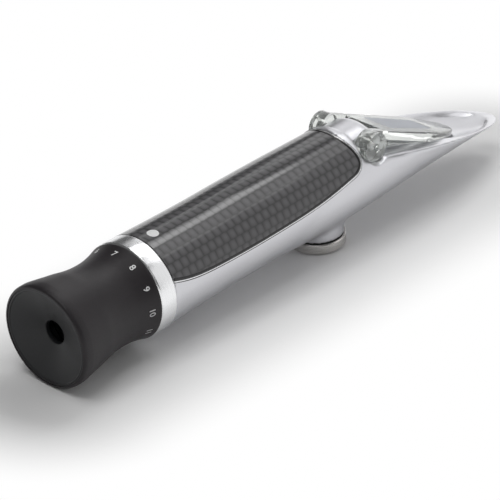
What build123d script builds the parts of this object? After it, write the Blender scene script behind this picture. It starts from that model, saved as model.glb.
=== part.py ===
from build123d import *
import math
import os

os.makedirs("parts", exist_ok=True)

# Handheld refractometer. Millimetres, degrees.
# X runs along the optical axis from the eyepiece rim at x = 0 to the tip of the scoop,
# Z is up and Y is across. The origin is the centre of the eyepiece rim.

# Main stations along the optical axis
total_length = 203.0
hinge_to_tip = 71.8
knob_to_hinge = 15.2
hinge_x = total_length - hinge_to_tip
knob_x = hinge_x - knob_to_hinge

# Clearances
running_gap = 0.05
slip_gap = 0.05
press_gap = 0.01
seam = 0.05

# Focus ring: black waisted sleeve that the fingers turn
ring_length = 32.3
rim_radius = 16.2
rim_wall = 1.1
ring_wall = 1.4
rim_band_length = 2.4
rim_edge = 0.8
flank_x = 12.0
flank_drop = 1.45
waist_x = 22.0
waist_drop = 2.8
mouth_drop = 1.1

# Eye cap: dished disc with the eyehole
cap_inset = 0.2
cap_rim_length = 3.4
cap_back_x = 5.4
eyehole_radius = 3.6
dish_depth = 3.8
dish_lip = 0.6

# Guide tube: fixed tube that carries the focus ring
guide_wall = 1.2
guide_end_x = 7.4
guide_flange_height = 1.4
guide_flange_length = 2.0
guide_tail_gap = 0.1
guide_tail_length = 2.0
retainer_length = 2.0
retainer_gap = 0.2
counterbore_depth = 1.55
retainer_seat_step = 0.4
focus_seal_x = 24.0
focus_seal_section = 0.35
seal_groove_gap = 0.05

# Collar: bright turned ring between the focus ring and the barrel
collar_gap = 0.2
collar_length = 6.1
collar_proud = 0.1
collar_edge = 0.35
collar_spigot_length = 4.0
collar_spigot_wall = 1.45
collar_seal_section = 0.42
collar_seal_x = 2.0

# Eyepiece optics in their sliding tube
lens_tube_start = 9.0
lens_tube_length = 24.0
lens_tube_wall = 1.35
lens_seat_step = 1.0
lens_seat_length = 1.5
eye_lens_thickness = 4.2
field_lens_thickness = 3.8
lens_bulge = 1.6
lens_spacer_length = 4.0
lens_stop_length = 2.0
lens_clear_step = 1.8

# Focus drive: a pin of the lens tube runs in a helical groove of the focus ring
drive_pin_x = 14.5
drive_pin_radius = 1.0
drive_pin_sunk = 0.2
drive_pin_proud = 0.7
groove_side_gap = 0.12
groove_depth = 0.9
focus_pitch = 4.2
focus_back_turn = 150.0
focus_forward_turn = 180.0
groove_run_out = 6.0

# Barrel: how far the outside drops below the collar, station by station
rear_drop = 0.2
grip_waist_drop = 0.55
grip_waist_from_start = 28.0
shoulder_drop = 0.6
neck_drop = 1.0
neck_behind_hinge = 9.0
scoop_side_drop = 1.1
scoop_side_past_hinge = 30.0
scoop_front_drop = 1.25
scoop_front_to_tip = 15.0
tip_drop = 0.8

# Keel: gentle swelling under the barrel, either side of the knob's boss
keel_below_axis = 1.0
keel_drop = 0.65
keel_end_drop = 1.9
keel_behind_knob = 34.0
keel_mid_behind_knob = 13.0
keel_mid_past_knob = 7.0
keel_past_knob = 56.0

# Barrel: bores of the housing
main_bore_step = 0.2
chamber_bore_step = 0.6
chamber_length = 26.0
chamber_behind_knob = 18.0
tunnel_roof = 1.1
tunnel_length = 12.0
light_window_step = 2.3

# Scoop: the barrel is cut by a sloping plane and hollowed in front of the prism
rim_slope = 15.0
tip_wall = 0.6
tip_taper_length = 20.0
tip_taper_half_width = 11.8
scoop_half_width = 10.4
scoop_axis_height = 16.0
scoop_start_to_tip = 49.0
scoop_end_to_tip = 5.0

# Grip cover and its bead
grip_recess = 0.8
grip_proud = 0.15
grip_front_to_hinge = 7.9
grip_rear_height = 6.2
grip_side_height = 2.35
grip_front_height = 9.5
grip_corner = 6.0
grip_front_lean = 2.0
grip_lower_mid = 12.0
grip_mid_rise = 1.0
grip_fore_back = 25.0
grip_fore_rise = 0.15
grip_corner_rise = 2.1
bead_width = 1.0
bead_proud = 0.1
dot_radius = 1.8
dot_depth = 0.4
dot_from_collar = 5.0
dot_lean = 5.4

# Hinge of the daylight plate
hinge_below_neck = 5.2
hump_half_width = 6.6
hump_drop = 0.6
hump_front_length = 5.2
hump_front_round = 3.5
hump_root = 1.0
notch_clearance = 0.5
ear_radius = 4.7
ear_thickness = 4.8
ear_side_gap = 0.3
ear_pocket_gap = 0.45
hinge_pin_radius = 1.2
hinge_pin_recess = 1.1

# Daylight plate, in its own plane: u runs down the slope and w is its normal
plate_slope = 24.5
plate_origin_x = 8.8
plate_above_hinge = 1.2
plate_rear_u = -1.5
plate_side_u = 22.0
plate_nose_u = 44.0
plate_half_width = 9.3
plate_nose_half_width = 8.9
plate_thickness = 3.0
plate_lip_start_u = 30.0
plate_lip_thickness = 1.3
plate_edge = 0.6
arm_top_reach = 1.0
skirt_rear_reach = 3.5
skirt_thickness = 1.3
skirt_drop = 1.4
plate_recess_gap = 0.6
plate_film_gap = 0.3

# Prism and its seat
prism_from_hinge = 10.3
prism_length = 25.0
prism_half_width = 5.3
prism_floor_wall = 6.0
pocket_gap = 0.2
table_drop = 0.4
seal_width = 0.8
seal_height = 1.2
mask_thickness = 0.4

# Optical tube with the scale
optical_tube_wall = 0.85
scale_shoulder_step = 1.3
scale_from_tube_start = 10.0
scale_shoulder_length = 2.0
scale_thickness = 1.5
scale_ring_length = 2.0
light_stop_thickness = 1.0
light_stop_bore = 6.5
light_stop_pitch = 16.0
light_stop_count = 2

# Objective carriage, raised and lowered by the adjusting screw
carriage_gap = 1.0
carriage_length = 8.0
carriage_flat_cut = 0.3
objective_to_rod = 2.7
objective_lip = 0.8
objective_seat_depth = 4.8
objective_thickness = 3.2
objective_bulge = 1.1
objective_ring_length = 1.6
rod_radius = 0.8
rod_inset = 1.6
rod_seat_depth = 0.8
spring_pocket_radius = 2.0
spring_pocket_depth = 3.2
spring_coil_radius = 1.4
spring_wire_radius = 0.2
spring_turns = 5
spring_headroom = 0.2

# Adjusting knob and its spindle
knob_radius = 9.2
knob_height = 3.35
knob_gap = 0.35
boss_radius = 8.6
boss_drop = 3.7
boss_fillet = 3.5
knob_edge = 0.4
knob_seat_depth = 1.15
spindle_radius = 3.0
spindle_thread_radius = 2.5
thread_reach = 2.7
thread_socket_depth = 3.5
spot_face_radius = 5.8
spot_face_cut = 0.2
clip_radius = 5.0
clip_thickness = 0.6
clip_groove_radius = 2.2
knob_seal_inset = 0.3
knob_seal_width = 1.0
knob_seal_groove = 0.6
knob_seal_height = 0.9
knob_screw_head = 3.0
knob_screw_head_height = 1.5
knob_screw_radius = 1.25
knob_screw_length = 6.0
knob_slot_width = 0.7
knob_slot_depth = 0.8
knob_counterbore = 1.6
clip_gap_width = 3.2

# Derived radii: from the eyepiece rim inwards and along the barrel
flank_radius = rim_radius - flank_drop
waist_radius = rim_radius - waist_drop
mouth_radius = rim_radius - mouth_drop
cap_radius = rim_radius - rim_wall
dish_radius = cap_radius - dish_lip
guide_radius = waist_radius - ring_wall
guide_bore = guide_radius - guide_wall
guide_flange_radius = guide_radius + guide_flange_height
retainer_seat_radius = guide_radius - retainer_seat_step
ring_counterbore = guide_radius + counterbore_depth
retainer_radius = ring_counterbore - retainer_gap
cap_spigot_radius = ring_counterbore - slip_gap
groove_depth_radius = guide_radius + groove_depth
lens_tube_radius = guide_bore - slip_gap
lens_tube_bore = lens_tube_radius - lens_tube_wall
lens_seat_bore = lens_tube_bore - lens_seat_step
lens_clear_bore = lens_tube_bore - lens_clear_step
drive_pin_root = lens_tube_bore + drive_pin_sunk
drive_pin_tip = guide_radius + drive_pin_proud
collar_radius = mouth_radius + collar_proud
collar_spigot_radius = guide_radius + collar_spigot_wall
rear_radius = collar_radius - rear_drop
grip_waist_radius = rear_radius - grip_waist_drop
shoulder_radius = rear_radius - shoulder_drop
neck_radius = rear_radius - neck_drop
scoop_side_radius = rear_radius - scoop_side_drop
scoop_front_radius = rear_radius - scoop_front_drop
tip_radius = rear_radius - tip_drop
keel_radius = rear_radius - keel_drop
keel_end_radius = rear_radius - keel_end_drop
front_bore_radius = collar_spigot_radius + slip_gap
main_bore_radius = guide_radius - main_bore_step
chamber_bore_radius = main_bore_radius - chamber_bore_step
guide_tail_radius = main_bore_radius - guide_tail_gap
optical_tube_radius = main_bore_radius - slip_gap
optical_tube_bore = optical_tube_radius - optical_tube_wall
scale_shoulder_bore = optical_tube_bore - scale_shoulder_step
carriage_radius = chamber_bore_radius - carriage_gap
rod_offset = carriage_radius - rod_inset
objective_radius = rod_offset - objective_to_rod
carriage_bore = objective_radius - objective_lip
hump_radius = neck_radius - hump_drop

# Derived heights above and depths below the optical axis
hinge_height = neck_radius - hinge_below_neck
plate_origin_z = hinge_height + plate_above_hinge
prism_floor = neck_radius - prism_floor_wall
carriage_flat = carriage_radius - carriage_flat_cut
tunnel_radius = hinge_height - hinge_pin_radius - tunnel_roof
light_window_radius = tunnel_radius - light_window_step
spindle_top = carriage_flat - thread_reach
thread_socket_top = carriage_flat - thread_socket_depth
spot_face_depth = chamber_bore_radius + spot_face_cut
boss_bottom = neck_radius + boss_drop
knob_bottom = boss_bottom + knob_gap + knob_height
knob_seal_outer = boss_radius - knob_seal_inset
knob_seal_inner = knob_seal_outer - knob_seal_width

# Derived stations
collar_start = ring_length + collar_gap
barrel_start = collar_start + collar_length + seam
spigot_end = collar_start + collar_length + collar_spigot_length
flange_end = spigot_end + seam + guide_flange_length
front_bore_end = flange_end + seam
tail_end = flange_end + guide_tail_length
chamber_start = knob_x - chamber_behind_knob
chamber_end = chamber_start + chamber_length
tunnel_end = chamber_end + tunnel_length
ring_shoulder_x = guide_end_x + retainer_length + collar_gap
grip_front = hinge_x - grip_front_to_hinge
prism_start = hinge_x + prism_from_hinge
prism_end = prism_start + prism_length
ear_inner = hump_half_width + ear_side_gap
ear_outer = ear_inner + ear_thickness
notch_start = hinge_x - ear_radius - ear_pocket_gap - notch_clearance
hump_end = hinge_x + hump_front_length
far = 60.0


def tube(x0, x1, outer, inner=0.0):
    """Round tube or rod about the optical axis."""
    shape = Pos((x0 + x1) / 2, 0, 0) * Rot(0, 90, 0) * Cylinder(outer, x1 - x0)
    if inner > 0:
        shape -= Pos((x0 + x1) / 2, 0, 0) * Rot(0, 90, 0) * Cylinder(inner, x1 - x0 + 1)
    return shape


def post(x, y, z0, z1, outer, inner=0.0):
    """Upright round post or sleeve."""
    shape = Pos(x, y, (z0 + z1) / 2) * Cylinder(outer, z1 - z0)
    if inner > 0:
        shape -= Pos(x, y, (z0 + z1) / 2) * Cylinder(inner, z1 - z0 + 1)
    return shape


def cross_pin(x, z, y0, y1, radius):
    """Round pin across the instrument."""
    return Pos(x, (y0 + y1) / 2, z) * Rot(90, 0, 0) * Cylinder(radius, y1 - y0)


def block(x0, x1, y0, y1, z0, z1):
    """Box between two corners."""
    return Pos((x0 + x1) / 2, (y0 + y1) / 2, (z0 + z1) / 2) * Box(x1 - x0, y1 - y0, z1 - z0)


def turned(*points):
    """Solid of revolution about the optical axis from corners given as (x, radius)."""
    return revolve(make_face(Polyline(*points, close=True)), Axis.X)


def side_cut(corners, y0, y1):
    """Side-view outline of (x, z) corners, as thick as y0 to y1."""
    outline = Polyline(*[(x, 0, z) for x, z in corners], close=True)
    face = make_face(outline)
    return Pos(0, y1, 0) * extrude(face, amount=y1 - y0, dir=(0, -1, 0))


def save(shape, name):
    """Write one sub-part under its node name."""
    export_step(shape, f"parts/{name}.step")


def barrel_outline(extra):
    """Outside line of the barrel, moved out by extra."""
    stations = [
        (barrel_start, rear_radius + extra),
        (barrel_start + grip_waist_from_start, grip_waist_radius + extra),
        (chamber_start, shoulder_radius + extra),
        (hinge_x - neck_behind_hinge, neck_radius + extra),
        (hinge_x + scoop_side_past_hinge, scoop_side_radius + extra),
        (total_length - scoop_front_to_tip, scoop_front_radius + extra),
        (total_length, tip_radius + extra),
    ]
    return Spline(*stations)


def barrel_solid(extra):
    """Solid of revolution inside the barrel's outline."""
    line = barrel_outline(extra)
    start = line @ 0
    end = line @ 1
    walls = Polyline((end.X, end.Y), (end.X, 0), (start.X, 0), (start.X, start.Y))
    return revolve(make_face([line, walls]), Axis.X)


# Rim plane of the scoop, through the tip
rim_angle = math.radians(rim_slope)


def rim_z(x):
    """Height of the rim plane at station x."""
    return tip_wall - tip_radius + (total_length - x) * math.tan(rim_angle)


# Plane of the daylight plate's top face
plate_angle = math.radians(plate_slope)
plate_cos = math.cos(plate_angle)
plate_sin = math.sin(plate_angle)
plate_top_x = hinge_x + plate_origin_x
plate_top_z = plate_origin_z
plate_plane = Plane(
    origin=(plate_top_x, 0, plate_top_z),
    x_dir=(plate_cos, 0, -plate_sin),
    z_dir=(plate_sin, 0, plate_cos),
)
axis_u = (hinge_x - plate_top_x) * plate_cos - (hinge_height - plate_top_z) * plate_sin
axis_w = (hinge_x - plate_top_x) * plate_sin + (hinge_height - plate_top_z) * plate_cos


def plate_level_z(x, w):
    """Height at station x of a plane parallel to the plate's top, w along its normal."""
    return plate_top_z - (x - plate_top_x) * math.tan(plate_angle) + w / plate_cos


def plate_block(corners, y0, y1):
    """Outline of (u, w) corners in the plate's side view, as thick as y0 to y1."""
    placed = []
    for u, w in corners:
        x = plate_top_x + u * plate_cos + w * plate_sin
        z = plate_top_z - u * plate_sin + w * plate_cos
        placed.append((x, z))
    return side_cut(placed, y0, y1)


def plate_footprint(margin):
    """Plan outline of the daylight plate, grown by margin."""
    half = plate_half_width + margin
    nose_half = plate_nose_half_width + margin
    rear = plate_rear_u - margin
    nose = plate_nose_u + margin
    near_side = Line((rear, -half), (plate_side_u, -nose_half))
    far_side = Line((plate_side_u, nose_half), (rear, half))
    back = Line((rear, half), (rear, -half))
    front = EllipticalCenterArc(
        (plate_side_u, 0), nose - plate_side_u, nose_half, start_angle=-90, arc_size=180
    )
    return plate_plane * make_face([near_side, front, far_side, back])


def grip_outline(inset):
    """Side-view face of the grip cover, drawn in by inset at the lower and front edges."""
    rear = barrel_start + slip_gap
    front = grip_front - inset
    lower = Spline(
        (rear, 0, grip_rear_height + inset),
        (rear + grip_lower_mid, 0, grip_side_height + grip_mid_rise + inset),
        (rear + grip_waist_from_start, 0, grip_side_height + inset),
        (grip_front - grip_fore_back, 0, grip_side_height + grip_fore_rise + inset),
        (grip_front - grip_corner, 0, grip_side_height + grip_corner_rise + inset),
    )
    corner_start = lower @ 1
    corner = Spline(
        corner_start,
        (front, 0, grip_front_height),
        tangents=(lower % 1, Vector(0, 0, 1)),
    )
    walls = Polyline(
        (front, 0, grip_front_height),
        (front - grip_front_lean, 0, 2 * rear_radius),
        (rear, 0, 2 * rear_radius),
        (rear, 0, grip_rear_height + inset),
    )
    return make_face([lower, corner, walls])


def grip_side_solid(inset):
    """The grip outline carried right across the instrument."""
    face = grip_outline(inset)
    return extrude(face, amount=far / 2, both=True, dir=(0, 1, 0))


def lens(flat_x, radius, clear_radius, thickness, bulge, way):
    """Plano-convex lens: flat face at flat_x, curved face towards way, flat land at its edge."""
    rim_x = flat_x + way * (thickness - bulge)
    pole_x = flat_x + way * thickness
    curve_radius = (clear_radius**2 + bulge**2) / (2 * bulge)
    centre_x = pole_x - way * curve_radius
    half_angle = math.asin(clear_radius / curve_radius) / 2
    middle = (centre_x + way * curve_radius * math.cos(half_angle), curve_radius * math.sin(half_angle))
    arc = ThreePointArc((rim_x, clear_radius), middle, (pole_x, 0))
    walls = Polyline((pole_x, 0), (flat_x, 0), (flat_x, radius), (rim_x, radius), (rim_x, clear_radius))
    return revolve(make_face([arc, walls]), Axis.X)


# Daylight plate: clear cover with two hinge ears
plate = extrude(plate_footprint(0), amount=-plate_thickness)
top_rim = plate.faces().sort_by(Axis(plate_plane.origin, plate_plane.z_dir))[-1].edges()
plate = fillet(top_rim, plate_edge)
plate -= plate_block(
    [
        (plate_lip_start_u, -plate_thickness),
        (plate_nose_u, -plate_lip_thickness),
        (plate_nose_u, -2 * plate_thickness),
        (plate_lip_start_u, -2 * plate_thickness),
    ],
    -plate_half_width,
    plate_half_width,
)
under_skirt_w = -plate_thickness - skirt_drop
for side in (-1, 1):
    arm_sides = sorted((side * ear_inner, side * plate_half_width))
    ear_sides = sorted((side * ear_inner, side * ear_outer))
    skirt_sides = sorted((side * (plate_half_width - skirt_thickness), side * plate_half_width))
    arm = plate_block(
        [
            (axis_u, 0),
            (plate_rear_u + arm_top_reach, 0),
            (plate_rear_u + skirt_rear_reach, under_skirt_w),
            (axis_u + ear_radius / 2, axis_w - ear_radius / 2),
        ],
        *arm_sides,
    )
    skirt = plate_block(
        [
            (plate_rear_u, -plate_thickness / 2),
            (plate_side_u, -plate_thickness / 2),
            (plate_side_u, -plate_thickness),
            (plate_rear_u + skirt_rear_reach, under_skirt_w),
            (plate_rear_u, under_skirt_w),
        ],
        *skirt_sides,
    )
    skirt &= extrude(plate_footprint(0), amount=-3 * plate_thickness)
    ear = cross_pin(hinge_x, hinge_height, *ear_sides, ear_radius)
    plate = plate + arm + skirt + ear
plate -= cross_pin(hinge_x, hinge_height, -far, far, hinge_pin_radius + running_gap)
save(plate, "daylight_plate")

# Hinge pin: held in the hump, its ends sunk in the ears
pin_reach = ear_outer - hinge_pin_recess
save(cross_pin(hinge_x, hinge_height, -pin_reach, pin_reach, hinge_pin_radius), "hinge_pin")


# Prism: wedge whose sloping face carries the sample
prism_face_w = -plate_thickness - plate_film_gap
prism_corners = [
    (prism_start, plate_level_z(prism_start, prism_face_w)),
    (prism_end, plate_level_z(prism_end, prism_face_w)),
    (prism_end, -prism_floor),
    (prism_start, -prism_floor),
]
prism = side_cut(prism_corners, -prism_half_width, prism_half_width)
save(prism, "prism")

# Prism seal: dark frame round the prism's face, level with the table
table_w = prism_face_w - table_drop
pocket_start = prism_start - mask_thickness - pocket_gap
pocket_end = prism_end + pocket_gap
pocket_half_width = prism_half_width + pocket_gap


def table_cut(x0, x1, half_width, depth):
    """Block under the table plane, depth deep, from x0 to x1."""
    corners = [
        (x0, plate_level_z(x0, table_w)),
        (x1, plate_level_z(x1, table_w)),
        (x1, plate_level_z(x1, table_w) - depth),
        (x0, plate_level_z(x0, table_w) - depth),
    ]
    return side_cut(corners, -half_width, half_width)


seal_step = table_cut(
    pocket_start - seal_width, pocket_end + seal_width, pocket_half_width + seal_width, seal_height
)
seal_window = block(pocket_start, pocket_end, -pocket_half_width, pocket_half_width, -far, far)
save(seal_step - seal_window, "prism_seal")

# Prism mask: thin plate with a round aperture behind the prism
mask_top = plate_level_z(prism_start, prism_face_w)
mask = block(
    prism_start - mask_thickness, prism_start, -prism_half_width, prism_half_width, -prism_floor, mask_top
)
mask -= tube(prism_start - 2 * mask_thickness, prism_start + mask_thickness, light_window_radius)
save(mask, "prism_mask")


# Housing: one long casting from the collar to the tip of the scoop
keel_line = Spline(
    (knob_x - keel_behind_knob, keel_end_radius),
    (knob_x - keel_mid_behind_knob, keel_radius),
    (knob_x + keel_mid_past_knob, keel_radius),
    (knob_x + keel_past_knob, keel_end_radius),
)
keel_ends = Polyline(
    (knob_x + keel_past_knob, keel_end_radius),
    (knob_x + keel_past_knob, 0),
    (knob_x - keel_behind_knob, 0),
    (knob_x - keel_behind_knob, keel_end_radius),
)
keel = Pos(0, 0, -keel_below_axis) * revolve(make_face([keel_line, keel_ends]), Axis.X)
housing = barrel_solid(0) + keel + post(knob_x, 0, -boss_bottom, -boss_radius, boss_radius)


def meets_barrel(edge):
    """True for the line where the knob's boss runs into the barrel."""
    box = edge.bounding_box()
    near_knob = abs(box.center().X - knob_x) < boss_radius
    between = box.min.Z > -boss_bottom + boss_fillet / 2 and box.max.Z < -boss_radius
    return near_knob and between


housing = fillet([edge for edge in housing.edges() if meets_barrel(edge)], boss_fillet)
above_rim = [
    (notch_start, rim_z(notch_start)),
    (total_length + tip_radius, rim_z(total_length + tip_radius)),
    (total_length + tip_radius, far),
    (notch_start, far),
]
housing -= side_cut(above_rim, -far, far)

# Tip drawn in to a rounded point in plan
taper_start = total_length - tip_taper_length
taper_line = Bezier(
    (taper_start, -tip_taper_half_width),
    (total_length + tip_taper_length, 0),
    (taper_start, tip_taper_half_width),
)
taper_back = Line((taper_start, tip_taper_half_width), (taper_start, -tip_taper_half_width))
taper = Pos(0, 0, -far / 2) * extrude(make_face([taper_line, taper_back]), amount=far)
tip_corners = block(taper_start, total_length + tip_wall, -far / 2, far / 2, -far / 2, far / 2)
housing -= tip_corners - taper

# Hump between the hinge ears
hump = tube(notch_start - hump_root, hump_end, hump_radius)
hump_rim = hump.edges().sort_by(Axis.X)[-1]
hump = fillet(hump_rim, hump_front_round)
hump &= block(notch_start - hump_root, hump_end, -hump_half_width, hump_half_width, 0, far)
housing += hump

# Table that carries the prism, down to where it meets the rim plane
table_start = hump_end - plate_recess_gap
table_meet = (
    plate_level_z(0, table_w) - rim_z(0)
) / (math.tan(plate_angle) - math.tan(rim_angle))
table_outline = [
    (table_start, plate_level_z(table_start, table_w)),
    (table_meet, plate_level_z(table_meet, table_w)),
    (table_meet, rim_z(table_meet) - seal_height),
    (table_start, 0),
]
housing += side_cut(table_outline, -hump_half_width, hump_half_width)

# Scoop in front of the prism: a shallow spindle hollow along the rim plane
scoop_start = total_length - scoop_start_to_tip
scoop_end = total_length - scoop_end_to_tip
scoop_middle = (scoop_start + scoop_end) / 2
scoop_half_length = (scoop_end - scoop_start) / 2 / math.cos(rim_angle)
scoop_radius = math.hypot(scoop_half_width, scoop_axis_height)
scoop_arc = ThreePointArc(
    (-scoop_half_length, scoop_axis_height), (0, scoop_radius), (scoop_half_length, scoop_axis_height)
)
scoop_walls = Polyline(
    (scoop_half_length, scoop_axis_height),
    (scoop_half_length, 0),
    (-scoop_half_length, 0),
    (-scoop_half_length, scoop_axis_height),
)
scoop = revolve(make_face([scoop_arc, scoop_walls]), Axis.X)
scoop_plane = Plane(
    origin=(
        scoop_middle + scoop_axis_height * math.sin(rim_angle),
        0,
        rim_z(scoop_middle) + scoop_axis_height * math.cos(rim_angle),
    ),
    x_dir=(math.cos(rim_angle), 0, -math.sin(rim_angle)),
    z_dir=(math.sin(rim_angle), 0, math.cos(rim_angle)),
)
housing -= scoop_plane * scoop

# Seat of the plate and pockets of its ears
plate_seat = extrude(plate_footprint(plate_recess_gap), amount=far / 2, dir=plate_plane.z_dir)
plate_seat = Pos(table_w * plate_sin, 0, table_w * plate_cos) * plate_seat
housing -= plate_seat
for side in (-1, 1):
    pocket_sides = sorted((side * hump_half_width, side * far / 2))
    housing -= cross_pin(hinge_x, hinge_height, *pocket_sides, ear_radius + ear_pocket_gap)
housing -= cross_pin(hinge_x, hinge_height, -far, far, hinge_pin_radius + press_gap)

# Prism pocket with the step for its seal
housing -= seal_step
housing -= block(
    pocket_start, pocket_end, -pocket_half_width, pocket_half_width, -prism_floor - seam, far / 2
)

# Bores along the optical axis
housing -= tube(barrel_start - seam, front_bore_end, front_bore_radius)
housing -= tube(front_bore_end, chamber_start, main_bore_radius)
housing -= tube(chamber_start, chamber_end, chamber_bore_radius)
housing -= tube(chamber_end, tunnel_end, tunnel_radius)
housing -= tube(tunnel_end, pocket_start, light_window_radius)

# Seats of the adjusting knob and of the carriage's guide rods
housing -= post(knob_x, 0, -boss_bottom - seam, 0, spindle_radius + running_gap)
housing -= post(knob_x, 0, -spot_face_depth, 0, spot_face_radius)
rod_reach = math.sqrt(chamber_bore_radius**2 - rod_offset**2) + rod_seat_depth
for side in (-1, 1):
    housing -= post(knob_x, side * rod_offset, -rod_reach, rod_reach, rod_radius + press_gap)

# Recess of the grip cover
recess = barrel_solid(grip_recess) - barrel_solid(-grip_recess)
recess &= grip_side_solid(0)
housing -= recess
save(housing, "body_shell")

# Grip cover, the bead round its edge and the index dot near the collar
dot_x = barrel_start + dot_from_collar
dot_post = Rot(dot_lean, 0, 0) * post(dot_x, 0, 0, far / 2, dot_radius)
cover = barrel_solid(grip_proud) - barrel_solid(seam - grip_recess)
cover &= grip_side_solid(bead_width)
cover -= dot_post - barrel_solid(grip_proud - dot_depth)
save(cover, "grip_cover")
bead = barrel_solid(bead_proud) - barrel_solid(seam - grip_recess)
bead &= grip_side_solid(seam) - grip_side_solid(bead_width)
save(bead, "grip_bead")
dot = dot_post & (barrel_solid(grip_proud) - barrel_solid(grip_proud - dot_depth))
save(dot, "index_dot")


# Collar ring and its seal, plugged into the housing
collar_end = collar_start + collar_length
collar = turned(
    (collar_start, guide_radius + slip_gap),
    (collar_start, collar_radius - collar_edge),
    (collar_start + collar_edge, collar_radius),
    (collar_end - collar_edge, collar_radius),
    (collar_end, collar_radius - collar_edge),
    (collar_end, collar_spigot_radius),
    (spigot_end, collar_spigot_radius),
    (spigot_end, guide_radius + slip_gap),
)


def seal_groove(x, ring_radius, section):
    """Square groove for a round seal whose outside touches ring_radius."""
    reach = section + seal_groove_gap
    return tube(x - reach, x + reach, ring_radius + section, ring_radius - section - reach)


def round_seal(x, ring_radius, section):
    """Round seal about the optical axis whose outside touches ring_radius."""
    return Pos(x, 0, 0) * Rot(0, 90, 0) * Torus(ring_radius - section, section)


collar_seal_centre = collar_end + collar_seal_x
collar -= seal_groove(collar_seal_centre, collar_spigot_radius, collar_seal_section)
save(collar, "collar_ring")
save(round_seal(collar_seal_centre, collar_spigot_radius, collar_seal_section), "collar_seal")

# Guide tube: carries the focus ring, its slot keeps the drive pin from turning
retainer_end = guide_end_x + retainer_length
flange_start = spigot_end + seam
guide = turned(
    (guide_end_x, guide_bore),
    (guide_end_x, retainer_seat_radius),
    (retainer_end, retainer_seat_radius),
    (retainer_end, guide_radius),
    (flange_start, guide_radius),
    (flange_start, guide_flange_radius),
    (flange_end, guide_flange_radius),
    (flange_end, guide_tail_radius),
    (tail_end, guide_tail_radius),
    (tail_end, guide_bore),
)
guide -= seal_groove(focus_seal_x, guide_radius, focus_seal_section)
pin_back_x = drive_pin_x - focus_pitch * focus_back_turn / 360
pin_front_x = drive_pin_x + focus_pitch * focus_forward_turn / 360
slot_end_room = drive_pin_radius + groove_side_gap
guide -= block(
    pin_back_x - slot_end_room,
    pin_front_x + slot_end_room,
    -drive_pin_radius - slip_gap,
    drive_pin_radius + slip_gap,
    -guide_radius - drive_pin_radius,
    -guide_bore + drive_pin_radius,
)
save(guide, "guide_tube")
save(round_seal(focus_seal_x, guide_radius, focus_seal_section), "focus_seal")
save(tube(guide_end_x, retainer_end, retainer_radius, retainer_seat_radius + press_gap), "ring_retainer")

# Focus ring: waisted outside, stepped bore, helical groove for the drive pin
rim_curve = ThreePointArc(
    (0, rim_radius - rim_edge),
    (rim_edge * (1 - math.sqrt(0.5)), rim_radius - rim_edge * (1 - math.sqrt(0.5))),
    (rim_edge, rim_radius),
)
rim_band_end = rim_edge + rim_band_length
rim_band = Line((rim_edge, rim_radius), (rim_band_end, rim_radius))
flank = Spline(
    (rim_band_end, rim_radius),
    (flank_x, flank_radius),
    (waist_x, waist_radius),
    (ring_length, mouth_radius),
)
cap_seat_x = cap_inset + cap_rim_length
ring_inside = Polyline(
    (ring_length, mouth_radius),
    (ring_length, guide_radius + running_gap),
    (ring_shoulder_x, guide_radius + running_gap),
    (ring_shoulder_x, ring_counterbore),
    (cap_seat_x, ring_counterbore),
    (cap_seat_x, cap_radius + press_gap),
    (0, cap_radius + press_gap),
    (0, rim_radius - rim_edge),
)
ring = revolve(make_face([rim_curve, rim_band, flank, ring_inside]), Axis.X)
groove_back_turn = focus_back_turn + groove_run_out
groove_turn = groove_back_turn + focus_forward_turn + groove_run_out
groove_angle = math.radians(groove_back_turn - 90)
groove_start_x = drive_pin_x - focus_pitch * groove_back_turn / 360
groove_width = 2 * (drive_pin_radius + groove_side_gap)
groove_inner = guide_radius - drive_pin_radius
groove_path = Helix(
    pitch=focus_pitch,
    height=focus_pitch * groove_turn / 360,
    radius=guide_radius,
    lefthand=True,
)
groove_face = Plane.XZ * Pos((groove_inner + groove_depth_radius) / 2, 0, 0) * Rectangle(
    groove_depth_radius - groove_inner, groove_width
)
groove = sweep(groove_face, path=groove_path, is_frenet=True)
groove_plane = Plane(
    origin=(groove_start_x, 0, 0),
    x_dir=(0, math.cos(groove_angle), math.sin(groove_angle)),
    z_dir=(1, 0, 0),
)
ring -= groove_plane * groove
save(ring, "focus_ring")

# Eye cap: dished towards the eye, plugged into the focus ring
cap = turned(
    (cap_inset, dish_radius),
    (cap_inset, cap_radius),
    (cap_seat_x, cap_radius),
    (cap_seat_x, cap_spigot_radius),
    (cap_back_x, cap_spigot_radius),
    (cap_back_x, eyehole_radius),
    (cap_inset + dish_depth, eyehole_radius),
)
save(cap, "eye_cap")


# Lens tube of the eyepiece with its drive pin
lens_tube_end = lens_tube_start + lens_tube_length
lens_seat_x = lens_tube_start + lens_seat_length
lens_tube = turned(
    (lens_tube_start, lens_seat_bore),
    (lens_tube_start, lens_tube_radius),
    (lens_tube_end, lens_tube_radius),
    (lens_tube_end, lens_tube_bore),
    (lens_seat_x, lens_tube_bore),
    (lens_seat_x, lens_seat_bore),
)
drive_pin = post(drive_pin_x, 0, -drive_pin_tip, -drive_pin_root, drive_pin_radius)
lens_tube -= drive_pin
save(lens_tube, "lens_tube")
save(drive_pin, "drive_pin")

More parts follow.
